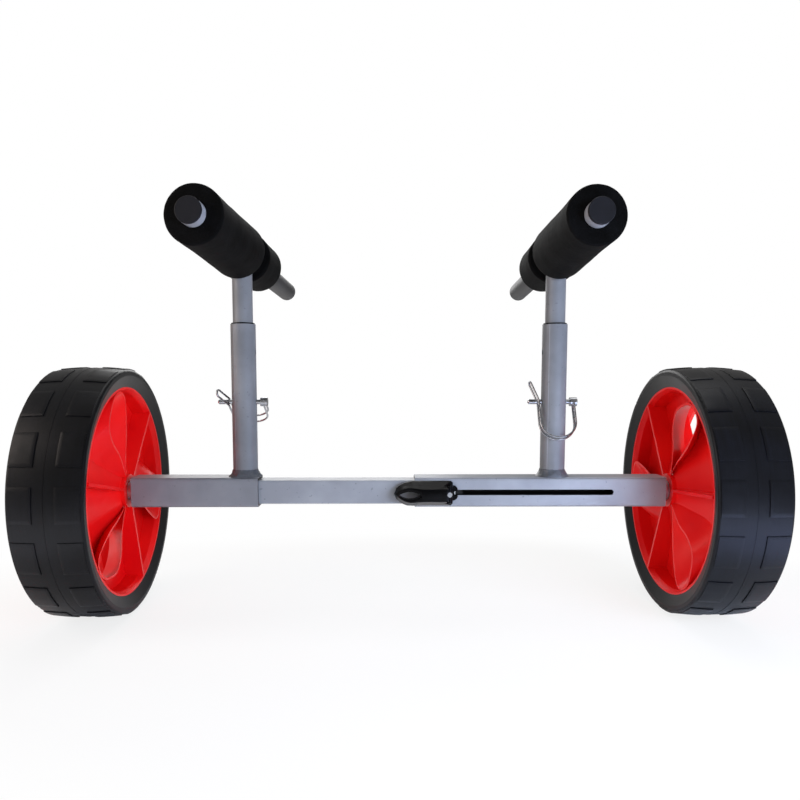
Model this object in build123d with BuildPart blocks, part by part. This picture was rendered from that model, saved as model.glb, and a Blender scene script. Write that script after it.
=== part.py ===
"""Two-wheeled paddleboard cart: telescoping axle beam, two adjustable padded T-bars, ten-inch wheels.

Millimetres. +X points to the cart's right, +Y to its rear, +Z up. The origin is where the board rests:
midway between the two pads, on their top line above the posts.
"""
import os
from math import asin, atan2, cos, degrees, hypot, radians, sin

from build123d import *

# Wheels
wheel_dia = 251.0
tyre_width = 67.0
wheel_spacing = 544.6          # between the inner faces of the two tyres
crown_drop = 2.0               # how far the tread falls from its middle to its shoulder
shoulder_radius = 3.0
shoulder_depth = 8.0           # of the upright part of the sidewall, before it falls back to the rim
tyre_seat_dia = 208.0          # bore of the tyre, outside of the rim
rim_width = 58.0
rim_lip_dia = 212.0
rim_lip_thick = 2.5
rim_wall = 2.6
rim_flare = 5.0                # length of the flared edge inside each lip
rim_hub_dia = 34.0
hub_inset = 3.7                # from the tyre's inner face back to the hub
hub_length = 49.0
web_thick = 3.0
web_at_hub = 26.0              # the web's inner face, from the wheel's middle plane
web_depth = 13.0
web_at_rim = 10.3
rib_angle = {"left": 12.0, "right": 5.0}
rib_thick = 3.0
rib_outer_depth = 11.7         # of the ribs behind the wheel's middle plane
leaf_start = 20.0              # of each leaf-shaped funnel, from the wheel's axis
leaf_end = 100.0
leaf_width = {"low": 24.5, "high": 21.0}    # from the leaf's middle line to either side
hole_centre = (58.0, 27.0)     # of the hole at the funnel's foot, from the wheel's axis
hole_size = (54.0, 36.0)
funnel_wall = 2.4
funnel_mouth = 28.4            # inward of the wheel's middle plane
funnel_foot = 5.0

# Axles
axle_dia = 12.0
axle_fit = 0.05                # radial running clearance in the hub
plug_length = 28.0
collar_dia = 20.0
end_play = 0.3                 # between the hub and what stops it on either side
washer_dia = 24.0
washer_thick = 1.6
split_pin_dia = 2.5
split_pin_overhang = 4.0
axle_end_length = 6.0          # of axle outside its split pin

# Beam of square tubes
outer_size = 30.0
outer_corner = 3.0
outer_wall = 2.8
slide_gap = 0.2                # per side, between the inner tube and the tube that slides on it
beam_end = 270.0               # from the middle of the cart to the end of the beam, each way
left_tube_length = 127.4
right_tube_start = 15.6
inner_wall = 2.0
inner_left_end = -236.0
inner_right_end = 64.0

# Width adjustment: slot and cam lever
clamp_x = 49.5
stud_dia = 5.0
stud_fit = 0.3
slot_height = 5.6
slot_length = 170.0
clamp_washer_dia = 14.0
clamp_washer_thick = 0.8
saddle_size = (18.0, 15.2)
saddle_thick = 3.0
saddle_notch = (3.6, 4.4)      # depth and width of the notch in its edge
cam_radius = 7.5               # from the pivot to the saddle
lever_end = 4.0                # from the pivot to the blunt end
lever_length = 56.6            # from the pivot to the pointed end
lever_height = 25.0            # beside the beam
lever_front_depth = 16.5       # from the saddle to the lever's front face
lever_taper = 21.0             # of its upper and lower faces
pivot_dia = 6.0
eye_length = 22.4              # of the lens-shaped hole near the pointed end
eye_height = 8.4
eye_from_tip = 5.0
nut_height = 5.0
nut_width = 8.0

# Uprights and lock pins
post_spacing = 314.6
upright_dia = 25.0
upright_wall = 2.2
upright_top = 168.8            # above the axle line
weld_size = 4.5
weld_side = 1.5                # of the weld in front of the upright and behind it
lock_height = 91.0             # of the lock pin, above the axle line
lock_step = 50.0               # up to the second pair of holes
lock_dia = 5.0
lock_fit = 0.3                 # clearance around the lock pin
lock_head_dia = 9.0
lock_head_length = 7.0
lock_length = 43.0             # of shank
lock_stand_off = 4.0           # from the upright to the pin's head
bail_wire = 2.0
bail_gap = 0.1                 # between the bail's two wires and the pin that passes between them
bail_reach = 40.0
bail_clear = 2.0               # between the upright and the bail's free leg
finger_loop = (-7.5, 22.0)     # from the pin's tip to the end of the finger loop
bail_lean = 0.8                # from the right bail's bow to the upright that it hangs in front of
left_bail_swing = 62.0         # the left one stands out to the rear

# Posts and crossbars
post_gap = 0.3                 # radial, between post and upright
post_wall = 1.5
post_below_lock = 12.0
notch_width = 9.0
bar_height = 238.0             # of the crossbar at the post, above the axle line
bar_dia = 22.0
bar_wall = 1.5
bar_front = 147.0
bar_rear = 200.5
bar_tilt = 3.4                 # nose up
bar_turn = {"left": 4.9, "right": 0.0}
cap_flange = {"front": 2.5, "rear": 5.0}
cap_round = {"front": 0.8, "rear": 3.5}
cap_plug = 14.0
pad_dia = 50.4
pad_length = {"front": 121.5, "rear": 53.5}
pad_gap = 1.5                  # from the post to the pads on either side of it

# Worked out
sides = {"left": -1, "right": 1}
inner_size = outer_size - 2 * (outer_wall + slide_gap)
post_dia = upright_dia - 2 * (upright_wall + post_gap)
bar_z = -pad_dia / 2 / cos(radians(bar_tilt))
axle_z = bar_z - bar_height
wheel_x = (wheel_spacing + tyre_width) / 2
hub_inner_x = wheel_spacing / 2 + hub_inset
hub_outer_x = hub_inner_x + hub_length
split_pin_x = hub_outer_x + end_play + washer_thick + split_pin_dia / 2
front_y = -outer_size / 2
post_x = post_spacing / 2
wire_offset = (lock_dia + bail_wire) / 2 + bail_gap
bow_stand = upright_dia / 2 + bail_wire / 2 + bail_lean
right_bail_swing = -degrees(asin(bow_stand / hypot(bail_reach, wire_offset)) + atan2(wire_offset, bail_reach))

os.makedirs("parts", exist_ok=True)


def publish(piece, name):
    piece.part.label = name
    export_step(piece.part, f"parts/{name}.step")


def wheel_section(sign):
    """Plane through the wheel's axis: local x points to the middle of the cart, local y outward."""
    return Plane(origin=(sign * wheel_x, 0, axle_z), x_dir=(-sign, 0, 0), z_dir=(0, sign, 0))


def wheel_axis(sign):
    return Axis((sign * wheel_x, 0, axle_z), (sign, 0, 0))


def across(x, y=0.0, z=axle_z):
    """Plane square to the beam at x, with local x to the rear and local y up."""
    return Plane(origin=(x, y, z), x_dir=(0, 1, 0), z_dir=(1, 0, 0))


def bar_plane(side, offset=0.0):
    """Plane square to a crossbar, offset along it from its post; its normal points to the rear."""
    sign = sides[side]
    turn = radians(bar_turn[side])
    tilt = radians(bar_tilt)
    along = Vector(-sign * sin(turn) * cos(tilt), cos(turn) * cos(tilt), -sin(tilt))
    centre = Vector(sign * post_x, 0, bar_z) + along * offset
    return Plane(origin=centre, x_dir=(cos(turn), sign * sin(turn), 0), z_dir=along)


def make_tyre(side, sign):
    half = tyre_width / 2
    crown = wheel_dia / 2
    seat = tyre_seat_dia / 2
    lip = rim_lip_dia / 2
    rim_half = rim_width / 2
    with BuildPart() as tyre:
        with BuildSketch(wheel_section(sign)):
            with BuildLine():
                tread = ThreePointArc((-half, crown - crown_drop), (0, crown), (half, crown - crown_drop))
                right = Polyline(
                    tread @ 1,
                    (half, crown - shoulder_depth),
                    (rim_half, lip),
                    (rim_half - rim_lip_thick, lip),
                    (rim_half - rim_lip_thick, seat),
                    (0, seat),
                )
                mirror(right, about=Plane.YZ)
            make_face()
            fillet(vertices().group_by(Axis.Y)[-1], radius=shoulder_radius)
        revolve(axis=wheel_axis(sign))
    publish(tyre, f"{side}_tyre")


def rim_face(sign, angle, depth):
    """Plane across the wheel, depth inward of its middle, with local x at an angle above the front."""
    return Plane(
        origin=(sign * (wheel_x - depth), 0, axle_z),
        x_dir=(0, -cos(radians(angle)), sin(radians(angle))),
        z_dir=(-sign, 0, 0),
    )


def leaf_outline(grow):
    """Leaf at the funnel's mouth, from the hub by its low side to the rim and back, grown by the wall."""
    span = leaf_end - leaf_start
    low, high = leaf_width["low"], leaf_width["high"]
    leaf = [
        (0, 0),
        (0.28, -0.33 * low),
        (0.46, -0.63 * low),
        (0.7, -0.94 * low),
        (0.92, -low),
        (1, -0.37 * low),
        (0.89, 0.48 * high),
        (0.72, high),
        (0.47, 0.79 * high),
        (0.23, 0.29 * high),
    ]
    points = [Vector(leaf_start + way * span, aside) for way, aside in leaf]
    middle = sum(points, Vector()) / len(points)
    return [point + (point - middle).normalized() * grow for point in points]


def hole_outline(grow):
    """Oval at the funnel's foot, with its points matched to the leaf's."""
    reach, half = hole_size[0] / 2 + grow, hole_size[1] / 2 + grow
    turns = [180, 216, 252, 282, 314, 350, 26, 72, 114, 146]
    return [Vector(*hole_centre) + Vector(reach * cos(radians(t)), half * sin(radians(t))) for t in turns]


def make_rim(side, sign):
    seat = tyre_seat_dia / 2
    lip = rim_lip_dia / 2
    rim_half = rim_width / 2
    bore = axle_dia / 2 + axle_fit
    hub = rim_hub_dia / 2
    hub_inner = wheel_x - hub_inner_x
    hub_outer = wheel_x - hub_outer_x
    first = rib_angle[side]
    ribs = [first, first + 120, first + 240]
    with BuildPart() as rim:
        with BuildSketch(wheel_section(sign)):
            with BuildLine():
                outside = Polyline(
                    (0, seat),
                    (rim_half - rim_lip_thick, seat),
                    (rim_half - rim_lip_thick, lip),
                    (rim_half, lip),
                    (rim_half, seat),
                    (rim_half - rim_flare, seat - rim_wall),
                    (0, seat - rim_wall),
                )
                mirror(outside, about=Plane.YZ)
            make_face()
            with Locations(((hub_inner + hub_outer) / 2, hub / 2)):
                Rectangle(hub_length, hub)
            with BuildLine():
                top = ThreePointArc(
                    (web_at_hub, hub - 1),
                    (web_depth, (hub + seat) / 2),
                    (web_at_rim, seat - 1),
                )
                low = ThreePointArc(
                    (web_at_rim - web_thick, seat - 1),
                    (web_depth - web_thick, (hub + seat) / 2),
                    (web_at_hub - web_thick, hub - 1),
                )
                Line(top @ 1, low @ 0)
                Line(low @ 1, top @ 0)
            make_face()
        revolve(axis=wheel_axis(sign))
        for angle in ribs:
            with BuildSketch(rim_face(sign, angle, -rib_outer_depth)):
                with Locations(((hub + seat) / 2 - 1, 0)):
                    Rectangle(seat - hub, rib_thick)
            extrude(amount=rib_outer_depth + hub_inner)
        for grow, mode in ((funnel_wall, Mode.ADD), (0, Mode.SUBTRACT)):
            for angle in ribs:
                with BuildSketch(rim_face(sign, angle + 60, funnel_mouth)):
                    with BuildLine():
                        Spline(*leaf_outline(grow), periodic=True)
                    make_face()
                with BuildSketch(rim_face(sign, angle + 60, funnel_foot)):
                    with BuildLine():
                        Spline(*hole_outline(grow), periodic=True)
                    make_face()
                loft(mode=mode)
        with BuildSketch(rim_face(sign, first, 0)):
            Circle(bore)
        extrude(amount=rim_width, both=True, mode=Mode.SUBTRACT)
    publish(rim, f"{side}_rim")


def make_axle(side, sign):
    plug_size = inner_size if side == "left" else inner_size + 2 * slide_gap
    with BuildPart() as axle:
        with BuildSketch(across(sign * beam_end)):
            RectangleRounded(plug_size, plug_size, 1.5)
        extrude(amount=-sign * plug_length)
        with BuildSketch(across(sign * beam_end)):
            Circle(collar_dia / 2)
        extrude(amount=sign * (hub_inner_x - end_play - beam_end))
        with BuildSketch(across(sign * beam_end)):
            Circle(axle_dia / 2)
        extrude(amount=sign * (split_pin_x + axle_end_length - beam_end))
        chamfer(axle.edges().sort_by(Axis.X)[-1 if sign > 0 else 0], length=1)
        with BuildSketch(Plane.XY.offset(axle_z)):
            with Locations((sign * split_pin_x, 0)):
                Circle(split_pin_dia / 2)
        extrude(amount=axle_dia, both=True, mode=Mode.SUBTRACT)
    publish(axle, f"{side}_axle")

    with BuildPart() as washer:
        with BuildSketch(across(sign * (hub_outer_x + end_play))):
            Circle(washer_dia / 2)
            Circle(axle_dia / 2, mode=Mode.SUBTRACT)
        extrude(amount=sign * washer_thick)
    publish(washer, f"{side}_axle_washer")

    with BuildPart() as split_pin:
        with BuildSketch(Plane.XY.offset(axle_z)):
            with Locations((sign * split_pin_x, 0)):
                Circle(split_pin_dia / 2)
        extrude(amount=axle_dia / 2 + split_pin_overhang, both=True)
    publish(split_pin, f"{side}_split_pin")


def make_left_tube():
    with BuildPart() as tube:
        with BuildSketch(across(-beam_end)):
            RectangleRounded(outer_size, outer_size, outer_corner)
            RectangleRounded(inner_size, inner_size, 1.5, mode=Mode.SUBTRACT)
        extrude(amount=left_tube_length)
    publish(tube, "left_outer_tube")


def make_right_tube():
    bore = outer_size - 2 * outer_wall
    with BuildPart() as tube:
        with BuildSketch(across(right_tube_start)):
            RectangleRounded(outer_size, outer_size, outer_corner)
            RectangleRounded(bore, bore, 1.5, mode=Mode.SUBTRACT)
        extrude(amount=beam_end - right_tube_start)
        with BuildSketch(Plane.XZ):
            with Locations((clamp_x - slot_height / 2 + slot_length / 2, axle_z)):
                SlotOverall(slot_length, slot_height)
        extrude(amount=outer_size, both=True, mode=Mode.SUBTRACT)
    publish(tube, "right_outer_tube")


def make_inner_tube():
    with BuildPart() as tube:
        with BuildSketch(across(inner_left_end)):
            RectangleRounded(inner_size, inner_size, 1.5)
            RectangleRounded(inner_size - 2 * inner_wall, inner_size - 2 * inner_wall, 0.8, mode=Mode.SUBTRACT)
        extrude(amount=inner_right_end - inner_left_end)
        with BuildSketch(Plane.XZ):
            with Locations((clamp_x, axle_z)):
                Circle(stud_dia / 2)
        extrude(amount=outer_size, both=True, mode=Mode.SUBTRACT)
    publish(tube, "inner_tube")


def make_cam_clamp():
    washer_front = front_y - clamp_washer_thick
    saddle_front = washer_front - saddle_thick
    pivot_y = saddle_front - cam_radius
    lever_front = saddle_front - lever_front_depth
    centre = (clamp_x, axle_z)
    with BuildPart() as stud:
        with BuildSketch(Plane.XZ.offset(-pivot_y + pivot_dia / 2 + 1)):
            with Locations(centre):
                Circle(stud_dia / 2)
        extrude(amount=-(outer_size / 2 - pivot_y + pivot_dia / 2 + 1 + nut_height + 2))
    publish(stud, "cam_stud")

    with BuildPart() as nut:
        with BuildSketch(Plane.XZ.offset(front_y)):
            with Locations(centre):
                Circle(nut_width * 0.75)
                Circle(stud_dia / 2, mode=Mode.SUBTRACT)
        extrude(amount=-1)
        with BuildSketch(Plane.XZ.offset(front_y - 1)):
            with Locations(centre):
                RegularPolygon(nut_width / 2, 6, major_radius=False)
                Circle(stud_dia / 2, mode=Mode.SUBTRACT)
        extrude(amount=-nut_height)
    publish(nut, "cam_nut")

    with BuildPart() as washer:
        with BuildSketch(Plane.XZ.offset(-front_y)):
            with Locations(centre):
                Circle(clamp_washer_dia / 2)
                Circle(stud_dia / 2, mode=Mode.SUBTRACT)
        extrude(amount=clamp_washer_thick)
    publish(washer, "cam_washer")

    width, height = saddle_size
    notch_depth, notch_size = saddle_notch
    with BuildPart() as saddle:
        with BuildSketch(Plane.XZ.offset(-washer_front)):
            with Locations(centre):
                RectangleRounded(width, height, 4.5)
                Circle(stud_dia / 2, mode=Mode.SUBTRACT)
            with Locations((clamp_x + width / 2, axle_z)):
                SlotOverall(2 * notch_depth, notch_size, mode=Mode.SUBTRACT)
        extrude(amount=saddle_thick)
        chamfer(saddle.edges().group_by(Axis.Y)[0], length=0.8)
    publish(saddle, "cam_saddle")

    with BuildPart() as pivot:
        with BuildSketch(Plane.XY.offset(axle_z)):
            with Locations((clamp_x, pivot_y)):
                Circle(pivot_dia / 2)
        extrude(amount=eye_height, both=True)
        with BuildSketch(Plane.XZ):
            with Locations(centre):
                Circle(stud_dia / 2)
        extrude(amount=2 * outer_size, both=True, mode=Mode.SUBTRACT)
    publish(pivot, "cam_pivot")

    tip_x = clamp_x - lever_length
    end_x = clamp_x + lever_end
    half = lever_height / 2
    with BuildPart() as lever:
        with BuildSketch(Plane.XZ.offset(-saddle_front)):
            with BuildLine():
                end = Line((end_x, axle_z - half + 2), (end_x, axle_z + half - 2))
                top = Line(end @ 1, (end_x - 2, axle_z + half))
                upper = Line(top @ 1, (tip_x + 26, axle_z + half))
                nose = ThreePointArc(upper @ 1, (tip_x + 7, axle_z + 0.62 * half), (tip_x, axle_z))
                chin = ThreePointArc(nose @ 1, (tip_x + 7, axle_z - 0.7 * half), (tip_x + 26, axle_z - half))
                lower = Line(chin @ 1, (end_x - 2, axle_z - half))
                Line(lower @ 1, end @ 0)
            make_face()
        extrude(amount=lever_front_depth, taper=lever_taper)
        with BuildSketch(Plane.XY.offset(axle_z - half)):
            with BuildLine():
                back = Line((end_x, saddle_front), (tip_x + 4, saddle_front))
                tip = Line(back @ 1, (tip_x, saddle_front - 5))
                front = ThreePointArc(
                    tip @ 1,
                    (clamp_x - lever_length / 2, lever_front + 0.5),
                    (clamp_x - 8, lever_front + 1),
                )
                cam = ThreePointArc(front @ 1, (end_x - 2, lever_front + 4), (end_x, pivot_y))
                Line(cam @ 1, back @ 0)
            make_face()
        extrude(amount=lever_height, mode=Mode.INTERSECT)
        with BuildSketch(Plane.XZ.offset(-saddle_front)):
            with Locations((tip_x + eye_from_tip + eye_length / 2, axle_z - 1)):
                with BuildLine():
                    ThreePointArc((-eye_length / 2, 0), (0, eye_height / 2), (eye_length / 2, 0))
                    ThreePointArc((eye_length / 2, 0), (0, -eye_height / 2), (-eye_length / 2, 0))
                make_face()
        extrude(amount=lever_front_depth, mode=Mode.SUBTRACT)
        with BuildSketch(Plane.XY.offset(axle_z)):
            with Locations((clamp_x, pivot_y)):
                Circle(pivot_dia / 2)
        extrude(amount=lever_height, both=True, mode=Mode.SUBTRACT)
        with BuildSketch(Plane.XZ.offset(-saddle_front)):
            with Locations((end_x, axle_z)):
                SlotOverall(2 * (lever_end + stud_dia / 2 + stud_fit), stud_dia + 2 * stud_fit)
        extrude(amount=lever_front_depth, mode=Mode.SUBTRACT)
    publish(lever, "cam_lever")


def make_upright(side, sign):
    with BuildPart() as upright:
        with BuildSketch(Plane.XY.offset(axle_z + outer_size / 2)):
            with Locations((sign * post_x, 0)):
                Circle(upright_dia / 2)
                Circle(upright_dia / 2 - upright_wall, mode=Mode.SUBTRACT)
        extrude(amount=upright_top - outer_size / 2)
        with BuildSketch(across(sign * post_x, z=axle_z + lock_height)):
            Circle(lock_dia / 2 + lock_fit)
            with Locations((0, lock_step)):
                Circle(lock_dia / 2 + lock_fit)
        extrude(amount=upright_dia, both=True, mode=Mode.SUBTRACT)
    publish(upright, f"{side}_upright")

    foot = Plane(origin=(sign * post_x, 0, axle_z + outer_size / 2), x_dir=(1, 0, 0), z_dir=(0, -1, 0))
    with BuildPart() as weld:
        with BuildSketch(foot):
            with BuildLine():
                base = Line((upright_dia / 2, 0), (upright_dia / 2 + weld_size, 0))
                side_line = Line((upright_dia / 2, 0), (upright_dia / 2, weld_size + 3))
                ThreePointArc(
                    base @ 1,
                    (upright_dia / 2 + weld_size * 0.45, weld_size * 0.6),
                    side_line @ 1,
                )
            make_face()
        revolve(axis=Axis((sign * post_x, 0, 0), (0, 0, 1)))
        with BuildSketch(Plane.XY.offset(axle_z + outer_size / 2)):
            with Locations((sign * post_x, 0)):
                Rectangle(2 * upright_dia, upright_dia + 2 * weld_side)
        extrude(amount=upright_dia, mode=Mode.INTERSECT)
    publish(weld, f"{side}_upright_weld")


def bail_frame(side, sign):
    """Plane of a bail: local x along the lock pin, local y away from the bow, turned about the pin."""
    swing = radians(left_bail_swing if side == "left" else right_bail_swing)
    centre = (sign * post_x, 0, axle_z + lock_height)
    return Plane(origin=centre, x_dir=(1, 0, 0), z_dir=(0, -cos(swing), -sin(swing)))


def make_lock_pin(side, sign):
    centre_x = sign * post_x
    head_x = centre_x + upright_dia / 2 + lock_stand_off
    hinge_x = upright_dia / 2 + lock_stand_off + lock_head_length / 2
    leg_x = -(upright_dia / 2 + bail_clear + bail_wire / 2)
    frame = bail_frame(side, sign)
    hinge = Plane(origin=frame.origin, x_dir=frame.x_dir, z_dir=-frame.y_dir)

    with BuildPart() as pin:
        with BuildSketch(across(head_x, z=axle_z + lock_height)):
            Circle(lock_dia / 2)
        extrude(amount=-lock_length)
        chamfer(pin.edges().sort_by(Axis.X)[0], length=1.2)
        with BuildSketch(across(head_x, z=axle_z + lock_height)):
            Circle(lock_head_dia / 2)
        extrude(amount=lock_head_length)
        with BuildSketch(hinge):
            with Locations((hinge_x, wire_offset), (hinge_x, -wire_offset)):
                Circle(bail_wire / 2)
        extrude(amount=lock_head_dia, mode=Mode.SUBTRACT)
    publish(pin, f"{side}_lock_pin")

    bow = [
        (hinge_x, 0),
        (hinge_x, -bail_reach),
        (leg_x, -bail_reach),
        (leg_x, 0),
        (leg_x + finger_loop[0], finger_loop[1]),
    ]
    there = [frame.from_local_coords(Vector(x, y, wire_offset)) for x, y in bow]
    back = [frame.from_local_coords(Vector(x, y, -wire_offset)) for x, y in reversed(bow)]
    bow_radius = 0.48 * (hinge_x - leg_x)
    bends = [bow_radius, bow_radius, 10, 0.98 * wire_offset]
    with BuildPart() as bail:
        with BuildLine() as route:
            FilletPolyline(*there, *back, radius=bends + bends[::-1])
        with BuildSketch(hinge):
            with Locations((hinge_x, -wire_offset)):
                Circle(bail_wire / 2)
        sweep(path=route.wire())
    publish(bail, f"{side}_pin_bail")


def make_post(side, sign):
    bottom = axle_z + lock_height - post_below_lock
    with BuildPart() as post:
        with BuildSketch(Plane.XY.offset(bottom)):
            with Locations((sign * post_x, 0)):
                Circle(post_dia / 2)
        extrude(amount=bar_z - bottom)
        with BuildSketch(bar_plane(side)):
            Circle(bar_dia / 2)
        extrude(amount=bar_dia, both=True, mode=Mode.SUBTRACT)
        with BuildSketch(Plane.XY.offset(bottom)):
            with Locations((sign * post_x, 0)):
                Circle(post_dia / 2 - post_wall)
        extrude(amount=bar_z - bottom, mode=Mode.SUBTRACT)
        with BuildSketch(across(sign * post_x, z=bottom)):
            Rectangle(notch_width, 2 * (post_below_lock + lock_dia / 2 + lock_fit))
        extrude(amount=post_dia, both=True, mode=Mode.SUBTRACT)
        with BuildSketch(across(sign * post_x, z=axle_z + lock_height + lock_step)):
            Circle(lock_dia / 2 + lock_fit)
        extrude(amount=post_dia, both=True, mode=Mode.SUBTRACT)
    publish(post, f"{side}_post")


def make_crossbar(side):
    with BuildPart() as bar:
        with BuildSketch(bar_plane(side, -bar_front)):
            Circle(bar_dia / 2)
            Circle(bar_dia / 2 - bar_wall, mode=Mode.SUBTRACT)
        extrude(amount=bar_front + bar_rear)
    publish(bar, f"{side}_crossbar")

    for end, offset, way in (("front", -bar_front, -1), ("rear", bar_rear, 1)):
        with BuildPart() as cap:
            with BuildSketch(bar_plane(side, offset)):
                Circle(bar_dia / 2)
            extrude(amount=way * cap_flange[end])
            rims = cap.edges().filter_by(GeomType.CIRCLE).sort_by(Axis.Y)
            fillet(rims[0 if way < 0 else -1], radius=cap_round[end])
            with BuildSketch(bar_plane(side, offset)):
                Circle(bar_dia / 2 - bar_wall)
            extrude(amount=-way * cap_plug)
        publish(cap, f"{side}_{end}_cap")

    for end, way in (("front", -1), ("rear", 1)):
        with BuildPart() as pad:
            with BuildSketch(bar_plane(side, way * (post_dia / 2 + pad_gap))):
                Circle(pad_dia / 2)
                Circle(bar_dia / 2, mode=Mode.SUBTRACT)
            extrude(amount=way * pad_length[end])
        publish(pad, f"{side}_{end}_pad")


make_left_tube()
make_right_tube()
make_inner_tube()
make_cam_clamp()
for side, sign in sides.items():
    make_tyre(side, sign)
    make_rim(side, sign)
    make_axle(side, sign)
    make_upright(side, sign)
    make_lock_pin(side, sign)
    make_post(side, sign)
    make_crossbar(side)
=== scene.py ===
import math

import bpy
from mathutils import Matrix, Vector


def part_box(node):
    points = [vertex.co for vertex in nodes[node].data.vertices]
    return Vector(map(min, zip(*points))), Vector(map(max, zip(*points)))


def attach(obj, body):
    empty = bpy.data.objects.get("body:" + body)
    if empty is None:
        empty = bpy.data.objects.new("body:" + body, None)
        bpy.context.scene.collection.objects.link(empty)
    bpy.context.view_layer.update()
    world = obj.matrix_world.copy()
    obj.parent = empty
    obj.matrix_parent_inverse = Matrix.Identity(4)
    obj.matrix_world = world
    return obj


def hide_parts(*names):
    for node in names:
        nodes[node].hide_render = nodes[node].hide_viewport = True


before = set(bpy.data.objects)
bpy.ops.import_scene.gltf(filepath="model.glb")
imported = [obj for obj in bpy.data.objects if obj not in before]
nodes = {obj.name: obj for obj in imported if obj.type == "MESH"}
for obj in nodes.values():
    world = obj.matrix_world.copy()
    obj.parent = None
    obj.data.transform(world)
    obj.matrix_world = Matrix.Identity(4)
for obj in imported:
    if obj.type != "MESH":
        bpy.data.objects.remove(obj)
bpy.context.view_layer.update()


# Small helpers

# a Mix node's two colour inputs and its colour output go by number: its other kinds have the same names
mixUnder, mixOver, mixOut = 6, 7, 2
# CAD meshes have their corners doubled along their edges; corners nearer than this (metres) are one
mergeDistance = 0.000005


def mm(value):
    return value / 1000


def hexToLinear(code):
    # sRGB hex to the linear colour that the shaders expect
    parts = [int(code[i:i + 2], 16) / 255 for i in (1, 3, 5)]
    linear = [c / 12.92 if c <= 0.04045 else ((c + 0.055) / 1.055) ** 2.4 for c in parts]
    return (*linear, 1.0)


def addNode(tree, kind, settings=None, links=None):
    # settings: properties, input sockets or a ramp's stops; links: input socket -> (node, output socket)
    node = tree.nodes.new(kind)
    for key, value in (settings or {}).items():
        if key == "stops":
            for number, (place, colour) in enumerate(value):
                node.color_ramp.elements[number].position = place
                node.color_ramp.elements[number].color = hexToLinear(colour)
        elif isinstance(key, str) and hasattr(node, key):
            setattr(node, key, value)
        else:
            node.inputs[key].default_value = value
    for key, (source, output) in (links or {}).items():
        tree.links.new(source.outputs[output], node.inputs[key])
    return node


def newMaterial(name):
    # also gives the link that lays a pattern on a piece at its real scale
    material = bpy.data.materials.new(name)
    material.use_nodes = True
    material.node_tree.nodes.clear()
    coords = addNode(material.node_tree, "ShaderNodeTexCoord")
    return material, material.node_tree, {"Vector": (coords, "Object")}


def paint(names, material):
    for name in names:
        for slot in nodes[name].material_slots:
            slot.material = material


def deselectAll():
    if bpy.context.object and bpy.context.object.mode != "OBJECT":
        bpy.ops.object.mode_set(mode="OBJECT")
    bpy.ops.object.select_all(action="DESELECT")


def pick(obj):
    deselectAll()
    obj.select_set(True)
    bpy.context.view_layer.objects.active = obj


def selectFaces(obj, test):
    # leaves the faces selected for which test(face) holds, and nothing else
    pick(obj)
    obj.data.vertices.foreach_set("select", [False] * len(obj.data.vertices))
    obj.data.edges.foreach_set("select", [False] * len(obj.data.edges))
    obj.data.polygons.foreach_set("select", [bool(test(face)) for face in obj.data.polygons])
    bpy.context.tool_settings.mesh_select_mode = (False, False, True)


def selectEdges(obj, test):
    # test(a, b) is given the places of the edge's two ends
    pick(obj)
    places = [v.co for v in obj.data.vertices]
    obj.data.vertices.foreach_set("select", [False] * len(obj.data.vertices))
    obj.data.polygons.foreach_set("select", [False] * len(obj.data.polygons))
    chosen = [bool(test(*(places[i] for i in edge.vertices))) for edge in obj.data.edges]
    obj.data.edges.foreach_set("select", chosen)
    bpy.context.tool_settings.mesh_select_mode = (False, True, False)


def selectVerts(obj, test):
    # test(place) is given each vertex's place
    pick(obj)
    obj.data.edges.foreach_set("select", [False] * len(obj.data.edges))
    obj.data.polygons.foreach_set("select", [False] * len(obj.data.polygons))
    obj.data.vertices.foreach_set("select", [bool(test(v.co)) for v in obj.data.vertices])
    bpy.context.tool_settings.mesh_select_mode = (True, False, False)


def cutCopy(source, cuts):
    # a merged copy of a CAD mesh, cut by planes: each cut drops what lies on the side its normal points to
    deselectAll()
    piece = bpy.data.objects.new("cutCopy", source.data.copy())
    bpy.context.scene.collection.objects.link(piece)
    pick(piece)
    bpy.ops.object.mode_set(mode="EDIT")
    bpy.ops.mesh.select_all(action="SELECT")
    bpy.ops.mesh.remove_doubles(threshold=mergeDistance)
    bpy.ops.mesh.normals_make_consistent(inside=False)
    for place, normal in cuts:
        bpy.ops.mesh.select_all(action="SELECT")
        bpy.ops.mesh.bisect(plane_co=place, plane_no=normal, clear_outer=True)
    bpy.ops.object.mode_set(mode="OBJECT")
    return piece


def applyModifier(obj, kind, name, **settings):
    pick(obj)
    modifier = obj.modifiers.new(name, kind)
    for key, value in settings.items():
        setattr(modifier, key, value)
    bpy.ops.object.modifier_apply(modifier=name)


def finishPiece(obj, name, body, material, smooth=35):
    # bakes the place into the mesh, names the piece and hands it to its body
    pick(obj)
    bpy.ops.object.transform_apply(location=True, rotation=True, scale=True)
    bpy.ops.object.shade_smooth_by_angle(angle=math.radians(smooth))
    obj.name = name
    obj.data.name = name
    obj.data.materials.clear()
    obj.data.materials.append(material)
    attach(obj, body)
    return obj


# Where things are

leftTyreLow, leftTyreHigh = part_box("left_tyre")
axleZ = (leftTyreLow.z + leftTyreHigh.z) / 2
tyreRadius = (leftTyreHigh.z - leftTyreLow.z) / 2
sides = ("left", "right")
print("frame loaded, axle at", round(axleZ * 1000, 2), "mm")

# Camera

camera = {
    "eye": (-15.4, -721.4, 112.7), "pitch": 5.24, "yaw": 0.54,
    "focal": 31.84, "sensor": 36, "shift": (0.0115, 0.0566), "clipStart": 0.01,
}

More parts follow.
